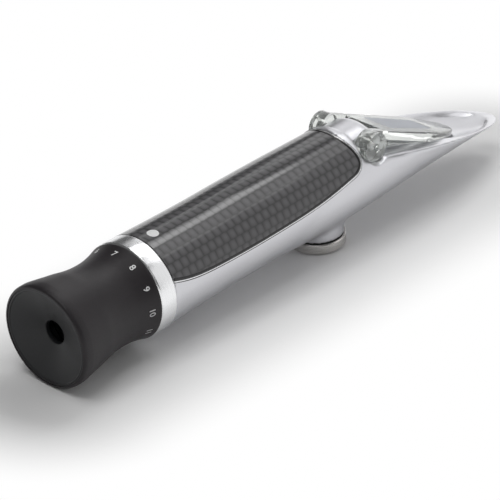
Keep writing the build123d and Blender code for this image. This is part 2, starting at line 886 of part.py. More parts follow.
# Eyepiece lenses with the spacer between them and the ring behind them
lens_radius = lens_tube_bore - slip_gap
eye_lens_rim = lens_seat_x + eye_lens_thickness - lens_bulge
spacer_end = eye_lens_rim + lens_spacer_length
field_lens_flat = spacer_end + field_lens_thickness - lens_bulge
eye_lens = lens(lens_seat_x, lens_radius, lens_clear_bore, eye_lens_thickness, lens_bulge, 1)
save(eye_lens, "eye_lens")
save(tube(eye_lens_rim, spacer_end, lens_radius, lens_clear_bore), "lens_spacer")
field_lens = lens(field_lens_flat, lens_radius, lens_clear_bore, field_lens_thickness, lens_bulge, -1)
save(field_lens, "field_lens")
save(
    tube(field_lens_flat, field_lens_flat + lens_stop_length, lens_radius, lens_clear_bore),
    "lens_retainer",
)


# Optical tube with the scale plate and its ring
tube_start = tail_end + seam
tube_end = chamber_start - 2 * seam
scale_shoulder_x = tube_start + scale_from_tube_start
scale_x = scale_shoulder_x + scale_shoulder_length
optical_tube = turned(
    (tube_start, optical_tube_bore),
    (tube_start, optical_tube_radius),
    (tube_end, optical_tube_radius),
    (tube_end, optical_tube_bore),
    (scale_x, optical_tube_bore),
    (scale_x, scale_shoulder_bore),
    (scale_shoulder_x, scale_shoulder_bore),
    (scale_shoulder_x, optical_tube_bore),
)
save(optical_tube, "optical_tube")
scale_radius = optical_tube_bore - slip_gap
scale_end = scale_x + scale_thickness
save(tube(scale_x, scale_end, scale_radius), "scale_plate")
save(tube(scale_end, scale_end + scale_ring_length, scale_radius, scale_shoulder_bore), "scale_ring")

# Light stops: thin black rings inside the optical tube
light_stops = Part()
for number in range(1, light_stop_count + 1):
    stop_x = scale_x + number * light_stop_pitch
    light_stops += tube(stop_x, stop_x + light_stop_thickness, scale_radius, light_stop_bore)
save(light_stops, "light_stops")


# Objective carriage between its guide rods
carriage_start = knob_x - carriage_length / 2
carriage_end = knob_x + carriage_length / 2
objective_seat_x = carriage_end - objective_seat_depth
carriage = tube(carriage_start, carriage_end, carriage_radius, carriage_bore)
carriage -= tube(objective_seat_x, carriage_end, objective_radius + slip_gap)
carriage -= block(carriage_start, carriage_end, -far / 2, far / 2, -far / 2, -carriage_flat)
carriage -= post(knob_x, 0, -carriage_radius, -thread_socket_top, spindle_thread_radius + running_gap)
spring_bottom = carriage_radius - spring_pocket_depth
carriage -= post(knob_x, 0, spring_bottom, carriage_radius, spring_pocket_radius)
guide_rods = Part()
for side in (-1, 1):
    rod_hole = post(knob_x, side * rod_offset, -far / 2, far / 2, rod_radius + running_gap)
    carriage -= rod_hole
    guide_rods += post(knob_x, side * rod_offset, -rod_reach, rod_reach, rod_radius)
save(carriage, "objective_carriage")
save(guide_rods, "guide_rods")

# Objective lens and its ring
objective_rim = objective_seat_x + objective_thickness - objective_bulge
objective = lens(
    objective_seat_x, objective_radius, carriage_bore, objective_thickness, objective_bulge, 1
)
save(objective, "objective_lens")
save(
    tube(objective_rim, objective_rim + objective_ring_length, objective_radius, carriage_bore),
    "objective_ring",
)

# Carriage spring: presses the carriage on to the adjusting screw
spring_top = chamber_bore_radius - spring_headroom
coil_height = spring_top - spring_bottom - 2 * spring_wire_radius
coil = Helix(pitch=coil_height / spring_turns, height=coil_height, radius=spring_coil_radius)
wire_face = Plane(origin=coil @ 0, z_dir=coil % 0) * Circle(spring_wire_radius)
spring = sweep(wire_face, path=coil, is_frenet=True)
save(Pos(knob_x, 0, spring_bottom + spring_wire_radius) * spring, "carriage_spring")


# Adjusting spindle, held by a clip inside the chamber
knob_top = -knob_bottom + knob_height
spindle_foot = knob_top - knob_seat_depth
clip_bottom = -spot_face_depth + seam
clip_top = clip_bottom + clip_thickness
screw_seat = -knob_bottom + knob_counterbore
screw_top = screw_seat + knob_screw_length
spindle = post(knob_x, 0, spindle_foot, clip_bottom, spindle_radius)
spindle += post(knob_x, 0, clip_bottom, clip_top, clip_groove_radius)
spindle += post(knob_x, 0, clip_top, -spindle_top, spindle_thread_radius)
spindle -= post(knob_x, 0, spindle_foot, screw_top, knob_screw_radius)
save(spindle, "adjust_spindle")
clip = post(knob_x, 0, clip_bottom, clip_top, clip_radius, clip_groove_radius)
clip -= block(
    knob_x, knob_x + clip_radius, -clip_gap_width / 2, clip_gap_width / 2, clip_bottom, clip_top
)
save(clip, "spindle_clip")

# Adjusting knob, its dark seal and the screw that joins it to the spindle
knob = post(knob_x, 0, -knob_bottom, knob_top, knob_radius)
knob = chamfer(knob.edges().group_by(Axis.Z)[0], knob_edge)
knob -= post(knob_x, 0, spindle_foot, knob_top, spindle_radius + press_gap)
knob -= post(knob_x, 0, -knob_bottom, screw_seat, knob_screw_head + slip_gap)
knob -= post(knob_x, 0, -knob_bottom, knob_top, knob_screw_radius + slip_gap)
seal_bottom = knob_top - knob_seal_groove
knob -= post(knob_x, 0, seal_bottom, knob_top, knob_seal_outer, knob_seal_inner)
save(knob, "adjust_knob")
seal = post(knob_x, 0, seal_bottom, seal_bottom + knob_seal_height, knob_seal_outer, knob_seal_inner)
save(seal, "knob_seal")
screw = post(knob_x, 0, screw_seat - knob_screw_head_height, screw_seat, knob_screw_head)
screw -= block(
    knob_x - knob_screw_head,
    knob_x + knob_screw_head,
    -knob_slot_width / 2,
    knob_slot_width / 2,
    screw_seat - knob_screw_head_height,
    screw_seat - knob_screw_head_height + knob_slot_depth,
)
screw += post(knob_x, 0, screw_seat, screw_top, knob_screw_radius)
save(screw, "knob_screw")
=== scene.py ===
import math

import bpy
from mathutils import Matrix, Vector


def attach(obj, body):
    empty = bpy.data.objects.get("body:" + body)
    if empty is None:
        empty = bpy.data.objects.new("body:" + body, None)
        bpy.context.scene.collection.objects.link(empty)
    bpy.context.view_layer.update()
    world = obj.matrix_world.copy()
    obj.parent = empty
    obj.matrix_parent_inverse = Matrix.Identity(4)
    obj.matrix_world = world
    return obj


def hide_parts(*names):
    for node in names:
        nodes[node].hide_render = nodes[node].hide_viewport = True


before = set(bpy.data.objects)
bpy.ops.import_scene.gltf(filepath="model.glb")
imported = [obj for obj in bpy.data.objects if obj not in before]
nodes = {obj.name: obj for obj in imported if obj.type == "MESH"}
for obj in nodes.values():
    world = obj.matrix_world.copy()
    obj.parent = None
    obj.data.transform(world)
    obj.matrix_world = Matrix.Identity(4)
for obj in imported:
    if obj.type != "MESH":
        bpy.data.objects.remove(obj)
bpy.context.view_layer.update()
MM = 0.001

# Main stations of the instrument, in millimetres
TIP_X = 203.0
HINGE_X, HINGE_Z = 131.2, 8.8
KNOB_X = 116.0
RIM_SLOPE = math.radians(15.0)
RIM_TIP_Z = -13.6
PLATE_SLOPE = math.radians(24.5)
PLATE_TOP = (140.0, 10.0)

BARREL = [(38.65, 15.0), (52.0, 14.66), (66.65, 14.45), (80.0, 14.5), (98.0, 14.4), (110.0, 14.2),
          (122.2, 14.0), (140.0, 13.9), (161.2, 13.9), (175.0, 13.82), (188.0, 13.75), (196.0, 13.98), (203.0, 14.4)]


def rim_z(x):
    return RIM_TIP_Z + (TIP_X - x) * math.tan(RIM_SLOPE)


def plate_point(u, w):
    """Side view place of a point u down the plate's slope and w above its top face."""
    c, s = math.cos(PLATE_SLOPE), math.sin(PLATE_SLOPE)
    return PLATE_TOP[0] + u * c + w * s, PLATE_TOP[1] - u * s + w * c


def flowing(points, count):
    """Even points along a smooth line through the given ones."""
    out = []
    for step in range(count + 1):
        t = step / count * (len(points) - 1)
        i = min(int(t), len(points) - 2)
        f = t - i
        p1, p2 = points[i], points[i + 1]
        p0 = points[i - 1] if i else [2 * a - b for a, b in zip(p1, p2)]
        p3 = points[i + 2] if i + 2 < len(points) else [2 * b - a for a, b in zip(p1, p2)]
        out.append(tuple(
            0.5 * (2 * b + (c - a) * f + (2 * a - 5 * b + 4 * c - d) * f * f + (3 * b - a - 3 * c + d) * f ** 3)
            for a, b, c, d in zip(p0, p1, p2, p3)))
    return out


def radius_at(line, x):
    """Radius of a profile line at station x."""
    for (x0, r0), (x1, r1) in zip(line, line[1:]):
        if x0 <= x <= x1:
            return r0 + (r1 - r0) * (x - x0) / (x1 - x0)
    return line[0][1] if x < line[0][0] else line[-1][1]


def eased(points, ease, steps=4):
    """Profile line with its inner corners rounded off by ease."""
    out = [points[0]]
    for before, corner, after in zip(points, points[1:], points[2:]):
        a = Vector(before) - Vector(corner)
        b = Vector(after) - Vector(corner)
        cut = min(ease, a.length * 0.45, b.length * 0.45)
        if cut < 1e-4 or abs(a.normalized().dot(b.normalized())) > 0.995:
            out.append(corner)
            continue
        p = Vector(corner) + a.normalized() * cut
        q = Vector(corner) + b.normalized() * cut
        for k in range(steps + 1):
            t = k / steps
            out.append(tuple((1 - t) ** 2 * p + 2 * t * (1 - t) * Vector(corner) + t ** 2 * q))
    out.append(points[-1])
    return out


BARREL_LINE = flowing(BARREL, 96)


def put_down():
    """Leaves edit mode with nothing selected."""
    if bpy.context.object and bpy.context.object.mode != "OBJECT":
        bpy.ops.object.mode_set(mode="OBJECT")
    bpy.ops.object.select_all(action="DESELECT")


def pick(piece):
    put_down()
    piece.select_set(True)
    bpy.context.view_layer.objects.active = piece


def settle(piece, merge=0.002, angle=32):
    """Applies the piece's place, closes its seams and shades it."""
    pick(piece)
    bpy.ops.object.transform_apply(location=True, rotation=True, scale=True)
    bpy.ops.object.mode_set(mode="EDIT")
    bpy.ops.mesh.select_all(action="SELECT")
    bpy.ops.mesh.remove_doubles(threshold=merge * MM)
    bpy.ops.mesh.normals_make_consistent(inside=False)
    bpy.ops.object.mode_set(mode="OBJECT")
    bpy.ops.object.shade_smooth_by_angle(angle=math.radians(angle))
    return piece


def turned(name, profile, axis="X", centre=(0.0, 0.0), sides=144):
    """Turned piece: a ring drawn out from station to station of (along, radius), in millimetres."""
    put_down()

    def station(along):
        if axis == "X":
            return Vector((along, centre[0], centre[1])) * MM
        return Vector((centre[0], centre[1], along)) * MM

    line = list(profile) + [profile[0]]
    first, radius = line[0]
    radius = max(radius, 0.001)
    turn = (0, math.pi / 2, 0) if axis == "X" else (0, 0, 0)
    bpy.ops.mesh.primitive_circle_add(vertices=sides, radius=radius * MM, location=station(first), rotation=turn)
    piece = bpy.context.object
    piece.name = name
    bpy.ops.object.mode_set(mode="EDIT")
    bpy.ops.mesh.select_all(action="SELECT")
    along = first
    for next_along, next_radius in line[1:]:
        next_radius = max(next_radius, 0.001)
        bpy.ops.mesh.extrude_edges_move(TRANSFORM_OT_translate={"value": station(next_along) - station(along)})
        k = next_radius / radius
        value = (1, k, k) if axis == "X" else (k, k, 1)
        bpy.ops.transform.resize(value=value, center_override=station(next_along))
        along, radius = next_along, next_radius
    return settle(piece)


def finish_with(piece, kind, **values):
    """Adds one modifier to the piece and applies it."""
    step = piece.modifiers.new(kind.lower(), kind)
    for key, value in values.items():
        setattr(step, key, value)
    pick(piece)
    bpy.ops.object.modifier_apply(modifier=step.name)


def mount(piece, body, finish, slot, *stands_for):
    """Gives the piece its finish and its place on a moving body."""
    piece.data.materials.clear()
    piece.data.materials.append(finish)
    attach(piece, body)
    if stands_for:
        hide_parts(*stands_for)
    return piece


# Finishes

class Finish:
    """A procedural finish on the piece's own coordinates."""

    def __init__(self, name, colour, metallic=0.0, roughness=0.5, **uniform):
        self.material = bpy.data.materials.new(name)
        self.material.use_nodes = True
        self.tree = self.material.node_tree
        self.shader = self.tree.nodes["Principled BSDF"]
        self.shader.inputs["Base Color"].default_value = (*colour, 1)
        self.shader.inputs["Metallic"].default_value = metallic
        self.shader.inputs["Roughness"].default_value = roughness
        for socket, value in uniform.items():
            self.shader.inputs[socket.replace("_", " ")].default_value = value
        self.place = self.tree.nodes.new("ShaderNodeTexCoord").outputs["Object"]

    def link(self, a, b):
        self.tree.links.new(a, b)

    def node(self, kind, inputs=(), **settings):
        made = self.tree.nodes.new(kind)
        for key, value in settings.items():
            setattr(made, key, value)
        for key, value in dict(inputs).items():
            if isinstance(value, bpy.types.NodeSocket):
                self.link(value, made.inputs[key])
            else:
                made.inputs[key].default_value = value
        return made

    def math(self, operation, a, b=0.0, c=0.0):
        return self.node("ShaderNodeMath", {0: a, 1: b, 2: c}, operation=operation).outputs[0]

    def grain(self, scale, stretch=(1, 1, 1), detail=3.0):
        """Fine noise, stretched along the given directions."""
        mapped = self.node("ShaderNodeMapping", {"Vector": self.place, "Scale": stretch})
        values = {"Vector": mapped.outputs[0], "Scale": scale, "Detail": detail}
        return self.node("ShaderNodeTexNoise", values).outputs[0]

    def between(self, value, low, high):
        return self.node("ShaderNodeMapRange", {"Value": value, "To Min": low, "To Max": high}).outputs[0]

    def blend(self, value, first, second):
        mix = self.node("ShaderNodeMix", {0: value, 6: (*first, 1), 7: (*second, 1)}, data_type="RGBA")
        return mix.outputs[2]

    def roughness(self, value):
        self.link(value, self.shader.inputs["Roughness"])

    def colour(self, value):
        self.link(value, self.shader.inputs["Base Color"])

    def relief(self, height, depth_mm, strength=1.0):
        bump = self.node("ShaderNodeBump", {"Height": height, "Distance": depth_mm * MM, "Strength": strength})
        self.link(bump.outputs[0], self.shader.inputs["Normal"])


def satin_silver():
    f = Finish("satin silver paint", (0.66, 0.66, 0.685), metallic=0.85, roughness=0.30)
    flake = f.grain(5200, detail=2)
    wide = f.grain(60)
    f.colour(f.blend(f.between(flake, 0.0, 1.0), (0.60, 0.60, 0.625), (0.74, 0.74, 0.77)))
    f.roughness(f.between(wide, 0.27, 0.33))
    f.relief(flake, 0.006)
    return f.material


def turned_aluminium():
    f = Finish("turned aluminium", (0.86, 0.865, 0.875), metallic=1.0, roughness=0.24)
    rings = f.grain(1.0, stretch=(9000, 60, 60), detail=4)
    f.colour(f.blend(rings, (0.78, 0.785, 0.80), (0.93, 0.935, 0.94)))
    f.roughness(f.between(rings, 0.18, 0.30))
    f.relief(rings, 0.004)
    return f.material


def matte_black(name, shade, rough, grain_scale=2600, shine=0.5):
    f = Finish(name, shade, roughness=rough, Specular_IOR_Level=shine)
    speck = f.grain(grain_scale, detail=4)
    wide = f.grain(35)
    f.colour(f.blend(speck, tuple(c * 0.7 for c in shade), tuple(c * 1.3 for c in shade)))
    f.roughness(f.between(wide, rough - 0.04, rough + 0.04))
    f.relief(speck, 0.02)
    return f.material


def woven_cover():
    """Plain weave of dark tows under a clear gloss coat, laid round the barrel, each tow with painted light: coloured
    lighter towards one end as if lit from that side.
    """
    f = Finish("woven cover", (0.05, 0.05, 0.05), roughness=0.5, Specular_IOR_Level=0.2,
               Coat_Weight=1.0, Coat_Roughness=0.12, Coat_IOR=1.5)
    parts = f.node("ShaderNodeSeparateXYZ", {0: f.place}).outputs
    up_side = f.math("ARCTAN2", parts["Z"], f.math("MULTIPLY", parts["Y"], -1.0))
    rows = f.math("SUBTRACT", f.math("DIVIDE", up_side, math.radians(11.75)), 0.526)
    row = f.math("FLOOR", rows)
    shift = f.math("ADD", f.math("MULTIPLY", f.math("PINGPONG", row, 1.0), 0.5), f.math("MULTIPLY", rows, 0.09))
    along = f.math("ADD", f.math("MULTIPLY", parts["X"], 1 / (2.92 * MM)), f.math("SUBTRACT", shift, 0.25))
    cross, run = f.math("FRACT", rows), f.math("FRACT", along)
    hump_cross = f.math("MULTIPLY", f.math("MULTIPLY", cross, f.math("SUBTRACT", 1.0, cross)), 4.0)
    hump_run = f.math("MULTIPLY", f.math("MULTIPLY", run, f.math("SUBTRACT", 1.0, run)), 4.0)
    tow = f.math("MULTIPLY", f.math("POWER", hump_cross, 0.6), f.math("POWER", hump_run, 0.85))
    # Painted light: each tow's colour rises from darker at its -X end to lighter at its +X end, as the shading of a
    # lit hump would.
    painted_side_light = f.math("ADD", f.math("MULTIPLY", run, 0.5), 0.72)
    fibre = f.grain(1.0, stretch=(9000, 700, 700), detail=3)
    lit = f.math("MULTIPLY", f.math("MULTIPLY", tow, painted_side_light), f.between(fibre, 0.75, 1.25))
    f.colour(f.blend(lit, (0.013, 0.013, 0.0135), (0.108, 0.105, 0.112)))
    f.relief(tow, 0.10, 0.35)
    return f.material


def clear_acrylic():
    """Clear moulding, faintly milky as worn acrylic is."""
    f = Finish("clear acrylic", (0.93, 0.955, 0.93), roughness=0.04, Transmission_Weight=0.88, IOR=1.49)
    f.colour(f.blend(f.grain(90), (0.90, 0.93, 0.90), (0.96, 0.975, 0.955)))
    f.roughness(f.between(f.grain(180), 0.02, 0.08))
    return f.material


def frosted_panel():
    f = Finish("frosted panel", (0.55, 0.58, 0.66), roughness=0.42, Transmission_Weight=0.35, IOR=1.49)
    fine = f.grain(3500)
    f.colour(f.blend(f.grain(70), (0.50, 0.53, 0.60), (0.60, 0.63, 0.70)))
    f.relief(fine, 0.01)
    return f.material


def brushed_steel():
    f = Finish("brushed steel", (0.62, 0.60, 0.58), metallic=1.0, roughness=0.27)
    lines = f.grain(1.0, stretch=(120, 120, 8000), detail=4)
    f.colour(f.blend(lines, (0.50, 0.485, 0.465), (0.74, 0.72, 0.70)))
    f.roughness(f.between(lines, 0.20, 0.34))
    f.relief(lines, 0.006)
    return f.material


def plain_metal(name, colour, rough):
    f = Finish(name, colour, metallic=1.0, roughness=rough)
    lines = f.grain(1200, detail=3)
    f.colour(f.blend(lines, tuple(c * 0.9 for c in colour), tuple(min(1, c * 1.08) for c in colour)))
    f.roughness(f.between(lines, rough - 0.05, rough + 0.06))
    return f.material


def optical_glass():
    f = Finish("optical glass", (0.93, 0.97, 0.96), roughness=0.0, Transmission_Weight=1.0, IOR=1.52)
    f.roughness(f.between(f.grain(120), 0.0, 0.02))
    return f.material


def prism_glass():
    """Glass whose measuring face and back are ground to an even grey."""
    f = Finish("ground prism glass", (0.66, 0.70, 0.76), roughness=0.34, Transmission_Weight=0.25, IOR=1.52)
    f.colour(f.blend(f.grain(80), (0.62, 0.66, 0.72), (0.70, 0.74, 0.80)))
    f.roughness(f.between(f.grain(150), 0.30, 0.38))
    return f.material


def print_white():
    f = Finish("white print", (0.93, 0.93, 0.93), roughness=0.45)
    f.colour(f.blend(f.grain(900), (0.90, 0.90, 0.90), (0.96, 0.96, 0.96)))
    return f.material


SILVER = satin_silver()
ALUMINIUM = turned_aluminium()
SLEEVE = matte_black("black sleeve", (0.0225, 0.0188, 0.0215), 0.46, shine=0.36)
DISH = matte_black("black dish", (0.018, 0.0185, 0.0205), 0.42, 3200, shine=0.4)
RUBBER = matte_black("black rubber", (0.012, 0.012, 0.012), 0.6)
BEAD = matte_black("gloss black bead", (0.006, 0.006, 0.007), 0.22)
ANODISED = matte_black("black anodised", (0.015, 0.015, 0.017), 0.38)
WOVEN = woven_cover()
ACRYLIC = clear_acrylic()
FROSTED = frosted_panel()
BRUSHED = brushed_steel()
STEEL = plain_metal("ground steel", (0.56, 0.56, 0.57), 0.28)
BRASS = plain_metal("turned brass", (0.72, 0.56, 0.27), 0.30)
SPRING = plain_metal("spring wire", (0.66, 0.66, 0.66), 0.2)
POLISHED = plain_metal("polished trim", (0.90, 0.90, 0.91), 0.15)
GLASS = optical_glass()
PRISM = prism_glass()
WHITE = print_white()

for node, finish in {
    "collar_seal": RUBBER, "guide_tube": ANODISED, "ring_retainer": BRASS, "focus_seal": RUBBER,
    "lens_tube": ANODISED, "drive_pin": STEEL, "eye_lens": GLASS, "lens_spacer": ANODISED,
    "field_lens": GLASS, "lens_retainer": ANODISED, "optical_tube": ANODISED, "scale_plate": GLASS,
    "scale_ring": ANODISED, "light_stops": ANODISED, "objective_carriage": BRASS, "objective_lens": GLASS,
    "objective_ring": ANODISED, "guide_rods": STEEL, "carriage_spring": SPRING, "adjust_spindle": STEEL,
    "spindle_clip": SPRING, "knob_seal": RUBBER, "knob_screw": STEEL, "hinge_pin": STEEL,
    "prism": PRISM, "prism_seal": RUBBER, "prism_mask": ANODISED,
}.items():
    nodes[node].data.materials.clear()
    nodes[node].data.materials.append(finish)


# Housing

def casting_copy(node, name):
    """Merged copy of a CAD node's own mesh, as a new piece."""
    put_down()
    piece = bpy.data.objects.new(name, nodes[node].data.copy())
    bpy.context.collection.objects.link(piece)
    pick(piece)
    bpy.ops.object.mode_set(mode="EDIT")
    bpy.ops.mesh.select_all(action="SELECT")
    bpy.ops.mesh.remove_doubles(threshold=0.001 * MM)
    bpy.ops.object.mode_set(mode="OBJECT")
    return piece


def tip_half_width(x):
    """Half the width of the rim's plan at station x."""
    r = radius_at(BARREL_LINE, x)
    wide = math.sqrt(max(0.0, r * r - rim_z(x) ** 2))
    return min(wide, 11.8 * math.sqrt(max(0.0, TIP_X - x) / 20.0)) if x > 183.0 else wide


def eased_step(value, start, end):
    """Rises smoothly from 0 at start to 1 at end."""
    t = max(0.0, min(1.0, (value - start) / (end - start)))
    return t * t * (3 - 2 * t)


CASTING_VOXEL = 0.36
FRONT_PART_X = 112
RIM_LIFT, RIM_SPREAD = 0.5, 0.3
DISH_DEPTH = 0.45
CHEEK_X, CHEEK_Y = 134.0, (9.8, 11.0)
RECESS_X, RECESS_Y = (121.0, 152.0), 9.9
SKIN_DEPTH = 2.5
KEPT_FACES = 0.42


def even_mesh(body):
    """Remeshes the casting evenly, laid level with its sloping rim so that the rim stays straight."""
    for painted_side_light in (-RIM_SLOPE, RIM_SLOPE):
        body.rotation_euler = (0, painted_side_light, 0)
        pick(body)
        bpy.ops.object.transform_apply(location=False, rotation=True, scale=False)
        if painted_side_light < 0:
            finish_with(body, "REMESH", mode="VOXEL", voxel_size=CASTING_VOXEL * MM, use_smooth_shade=True)
    for turn in range(4):
        finish_with(body, "SMOOTH", factor=0.5, iterations=1)
        finish_with(body, "SMOOTH", factor=-0.53, iterations=1)
    finish_with(body, "SMOOTH", factor=0.5, iterations=3)


def roll_edges(body):
    """Rolls the rim over, softens the cheeks beside the hinge and deepens the dish towards the tip."""
    rim = body.vertex_groups.new(name="rolled rim")
    cheek = body.vertex_groups.new(name="cast cheeks")
    upward = [vertex.normal.z for vertex in body.data.vertices]
    for vertex, up in zip(body.data.vertices, upward):
        x, y, z = vertex.co / MM
        if x < FRONT_PART_X:
            continue
        away = abs(z - rim_z(x)) * math.cos(RIM_SLOPE)
        inside = tip_half_width(x) - abs(y)
        band = 1.6 - 0.8 * eased_step(x, 184.0, 198.0)
        weight = eased_step(-away, -3.0 * band, -1.2 * band) * eased_step(x, 129.0, 134.0)
        weight *= eased_step(-inside, -2.4 * band, -1.2 * band) * (1.0 - 0.6 * eased_step(x, 186.0, 201.0))
        if weight > 0:
            rim.add([vertex.index], weight, "REPLACE")
            edge = weight * eased_step(-away, -1.5, 0.0) * eased_step(-inside, -1.5, 0.0)
            edge *= 1.0 - 0.6 * eased_step(x, 190.0, 202.0)
            vertex.co.z += RIM_LIFT * MM * edge
            vertex.co.y += math.copysign(RIM_SPREAD * MM * edge, y)
        weight = eased_step(-abs(x - CHEEK_X), -14.0, -8.0) * eased_step(abs(y), *CHEEK_Y)
        weight *= eased_step(z, -8.0, -4.5)
        if weight > 0:
            cheek.add([vertex.index], weight, "REPLACE")
        deep = eased_step(x, 180.0, 190.0) * (1.0 - 0.8 * eased_step(x, 192.0, 200.0))
        slope = 1.0 + 0.5 * eased_step(x, 186.0, 200.0)
        if deep > 0 and up > 0.3 and abs(z - rim_z(x)) < 4.0:
            vertex.co.z -= DISH_DEPTH * MM * deep * eased_step(inside / slope, 1.5, 3.2)
    finish_with(body, "SMOOTH", factor=0.5, iterations=44, vertex_group="rolled rim")
    finish_with(body, "SMOOTH", factor=0.5, iterations=150, vertex_group="cast cheeks")


def fill_recess_lip(body):
    """Brings the barrel's skin round the ear recesses back out to the barrel's own radius."""
    outward = [vertex.normal.y * vertex.co.y + vertex.normal.z * vertex.co.z for vertex in body.data.vertices]
    for vertex, facing in zip(body.data.vertices, outward):
        x, y, z = vertex.co / MM
        if facing > 0 and RECESS_X[0] < x < RECESS_X[1] and abs(y) > RECESS_Y and z < rim_z(x):
            r, full = math.hypot(y, z), radius_at(BARREL_LINE, x)
            lift = eased_step(math.hypot(x - HINGE_X, z - HINGE_Z), 4.9, 5.6)
            lift *= eased_step(rim_z(x) - z, 0.5, 1.8)
            if full - SKIN_DEPTH < r < full:
                vertex.co.yz = vertex.co.yz * (1 + (full / r - 1) * lift)


def housing():
    """The silver casting, its hard edges rolled over as cast and painted metal."""
    body = casting_copy("body_shell", "housing")
    even_mesh(body)
    roll_edges(body)
    fill_recess_lip(body)
    finish_with(body, "DECIMATE", ratio=KEPT_FACES, use_collapse_triangulate=True)
    pick(body)
    bpy.ops.object.shade_smooth()
    return mount(body, "housing", SILVER, "satin_silver", "body_shell")


def plate_slab(name, outline, w0, w1):
    """Slab in the plate's own slope with a plan outline of (u, y), from w0 to w1 above its top."""
    put_down()
    bpy.ops.mesh.primitive_circle_add(vertices=len(outline), fill_type="NGON", radius=MM)
    piece = bpy.context.object
    piece.name = name
    for vertex, (u, y) in zip(piece.data.vertices, outline):
        x, z = plate_point(u, w0)
        vertex.co = Vector((x, y, z)) * MM
    x0, z0 = plate_point(0, w0)
    x1, z1 = plate_point(0, w1)
    bpy.ops.object.mode_set(mode="EDIT")
    bpy.ops.mesh.select_all(action="SELECT")
    bpy.ops.mesh.extrude_region_move(TRANSFORM_OT_translate={"value": ((x1 - x0) * MM, 0, (z1 - z0) * MM)})
    return settle(piece)


HOUSING = housing()


# Grip cover: woven sheet wrapped round the barrel, with its bead, its silver trim line and a black line of painted
# shade beyond it

GRIP_LOWER = [(38.72, 6.0), (44.0, 4.35), (52.0, 3.15), (66.7, 2.35), (82.0, 2.3), (98.3, 2.6),
              (110.0, 3.5), (117.3, 4.6)]
GRIP_FRONT = [(18.8, 117.3), (20.0, 119.3), (22.0, 120.9), (26.0, 122.3), (34.0, 123.4), (48.0, 123.1), (63.0, 122.3),
              (76.0, 121.7), (90.0, 121.5)]
LOWER_LINE = flowing(GRIP_LOWER, 60)
FRONT_LINE = flowing(GRIP_FRONT, 60)


def grip_low_angle(x):
    return math.degrees(math.asin(radius_at(LOWER_LINE, x) / radius_at(BARREL_LINE, x)))


def on_barrel(x, angle, proud=0.0):
    """Point on the barrel at station x, angle above the near side's level, proud of its surface."""
    r = radius_at(BARREL_LINE, x) + proud
    a = math.radians(angle)
    return Vector((x, -r * math.cos(a), r * math.sin(a))) * MM


def grip_cover():
    put_down()
    along, across = 150, 120
    bpy.ops.mesh.primitive_grid_add(x_subdivisions=along, y_subdivisions=across, size=2)
    piece = bpy.context.object
    piece.name = "woven_grip"
    for vertex in piece.data.vertices:
        u = (vertex.co.x + 1) / 2
        v = math.sin(vertex.co.y * math.pi / 2)
        front_angle = 90 - (90 - FRONT_LINE[0][0]) * abs(v)
        x_front = radius_at(FRONT_LINE, front_angle)
        x = 38.72 + u * (x_front - 38.72)
        low = grip_low_angle(min(x, 117.3)) if x < 117.3 else FRONT_LINE[0][0]
        angle = 90 - (90 - low) * abs(v)
        if v > 0:
            angle = 180 - angle
        vertex.co = on_barrel(x, angle, 0.15)
    finish_with(piece, "SOLIDIFY", thickness=0.7 * MM, offset=-1.0)
    settle(piece, merge=0.0005, angle=40)
    return mount(piece, "housing", WOVEN, "woven_cover", "grip_cover")


def on_casting(x, angle, proud):
    """Point proud of the casting's own surface where that stands above the plain barrel."""
    a = math.radians(angle)
    out = Vector((0, -math.cos(a), math.sin(a)))
    start = Vector((x * MM, 0, 0)) + out * 30 * MM
    found, place, _, _ = HOUSING.ray_cast(start, -out)
    r = max(radius_at(BARREL_LINE, x), place.yz.length / MM if found else 0.0)
    return Vector((x * MM, 0, 0)) + out * (r + proud) * MM


def trim_line(name, offset, proud, thick, finish, slot, *stands_for):
    """Fine line that follows the cover's edge, offset outwards from it."""
    edge = [(x, grip_low_angle(x)) for x in [38.9 + k * 3.0 for k in range(27)]]
    edge += [(x, a) for a, x in FRONT_LINE[2:]]
    near = []
    for k, (x, angle) in enumerate(edge):
        x0, a0 = edge[max(k - 1, 0)]
        x1, a1 = edge[min(k + 1, len(edge) - 1)]
        r = radius_at(BARREL_LINE, x)
        dx, ds = x1 - x0, math.radians(a1 - a0) * r
        size = math.hypot(dx, ds)
        near.append((x + offset * ds / size, angle - math.degrees(offset * dx / size / r)))
    path = near + [(x, 180 - a) for x, a in reversed(near)][1:]
    put_down()
    bpy.ops.curve.primitive_nurbs_path_add()
    line = bpy.context.object
    line.name = name
    spline = line.data.splines[0]
    spline.points.add(len(path) - len(spline.points))
    place = on_casting if offset > 0 else on_barrel
    run = [place(x, angle, proud) for x, angle in path]
    for turn in range(3):
        run[1:-1] = [(a + 2 * b + c) / 4 for a, b, c in zip(run, run[1:], run[2:])]
    for point, spot in zip(spline.points, run):
        point.co = (*spot, 1)
    spline.order_u = 3
    spline.use_endpoint_u = True
    spline.resolution_u = 3
    line.data.bevel_depth = thick * MM
    line.data.bevel_resolution = 3
    line.data.use_fill_caps = True
    pick(line)
    bpy.ops.object.convert(target="MESH")
    settle(bpy.context.object, merge=0.0005, angle=60)
    return mount(bpy.context.object, "housing", finish, slot, *stands_for)


grip_cover()
trim_line("grip_bead_line", -0.25, -0.28, 0.62, BEAD, "black_bead", "grip_bead")
trim_line("grip_silver_line", 0.42, -0.08, 0.2, POLISHED, "turned_aluminium")
# Painted shade: a thin black strip laid along the seam beyond the silver line, standing for the shade that falls
# there.
trim_line("grip_shadow_line", 0.78, -0.10, 0.14, BEAD, "black_bead")


